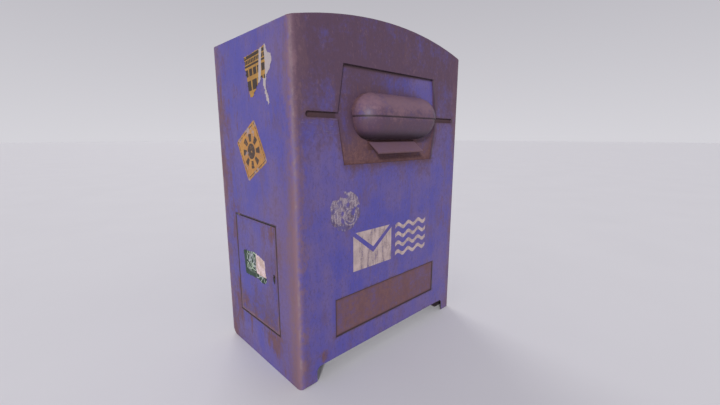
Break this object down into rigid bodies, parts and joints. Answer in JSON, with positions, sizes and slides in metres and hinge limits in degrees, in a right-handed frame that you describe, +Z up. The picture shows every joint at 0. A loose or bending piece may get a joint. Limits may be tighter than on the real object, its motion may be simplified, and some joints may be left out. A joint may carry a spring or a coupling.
{
  "type": "post box",
  "caption": "Free-standing sheet-steel street post box with an arched roof, a hooded posting slot with a roll-up shutter, a locked side door and anchor feet.",
  "frame": {"origin": "on the ground, at the centre of the four anchor holes in the foot rails", "axes": "+Z up, the posting front faces -Y, +X is to the right of someone facing the front"},
  "size_m": [0.87, 0.5962, 1.2102],
  "materials": {
    "blue_paint": "old satin enamel, dirty and worn through at the edges",
    "worn_paint": "enamel rubbed thin to a pinkish-brown primer",
    "rusted_sheet": "evenly rusted sheet with traces of paint",
    "galvanised_sheet": "galvanised, dulled",
    "zinc_fasteners": "zinc plated",
    "bright_steel": "turned bright steel",
    "brass": "dull machined brass",
    "nylon": "natural nylon",
    "rubber": "black rubber"
  },
  "bodies": {
    "root": {"body_shell": "blue_paint", "back_cover": "blue_paint", "back_screws": "zinc_fasteners", "floor_plate": "galvanised_sheet", "floor_screws": "zinc_fasteners", "foot_rail_right": "galvanised_sheet", "foot_rail_left": "galvanised_sheet", "roof_rib": "galvanised_sheet", "panel_rim": "blue_paint", "posting_panel": "blue_paint", "panel_studs": "zinc_fasteners", "hood": "worn_paint", "pivot_rod": "bright_steel", "rod_clips": "zinc_fasteners", "pivot_brackets": "galvanised_sheet", "stop_buffers": "rubber", "letter_ledge": "worn_paint", "letter_chute": "galvanised_sheet", "baffle": "galvanised_sheet", "sloping_floor": "galvanised_sheet", "slope_trestles": "galvanised_sheet", "notice_panel": "rusted_sheet", "notice_studs": "zinc_fasteners", "door_frame": "galvanised_sheet", "strike_plate": "bright_steel", "door_seal": "rubber", "pivot_pin_bottom": "bright_steel", "pivot_pin_top": "bright_steel"},
    "shutter": {"posting_shutter": "worn_paint", "shutter_arms": "galvanised_sheet", "shutter_bushes": "nylon"},
    "side_door": {"door_leaf": "blue_paint", "door_lip": "galvanised_sheet", "pivot_block_bottom": "brass", "pivot_block_top": "brass", "lock_case": "galvanised_sheet", "lock_screws": "zinc_fasteners"},
    "lock_bolt_body": {"lock_bolt": "bright_steel"},
    "key_hub": {"lock_hub": "brass"}
  },
  "joints": [
    {"name": "shutter_roll", "type": "hinge", "parent": "root", "child": "shutter", "pos_m": [0, -0.255, 0.8915], "axis": [-1, 0, 0], "range_deg": [0, 85]},
    {"name": "door_swing", "type": "hinge", "parent": "root", "child": "side_door", "pos_m": [-0.427, 0.1415, 0.343], "axis": [0, 0, -1], "range_deg": [0, 105]},
    {"name": "bolt_throw", "type": "slide", "parent": "side_door", "child": "lock_bolt_body", "axis": [0, -1, 0], "range_m": [0, 0.01]},
    {"name": "hub_turn", "type": "hinge", "parent": "side_door", "child": "key_hub", "pos_m": [-0.432, -0.113, 0.359], "axis": [1, 0, 0], "range_deg": [0, 96]}
  ],
  "couplings": [
    {"joint": "hub_turn", "follows": "bolt_throw", "rad_per_m": 157}
  ]
}
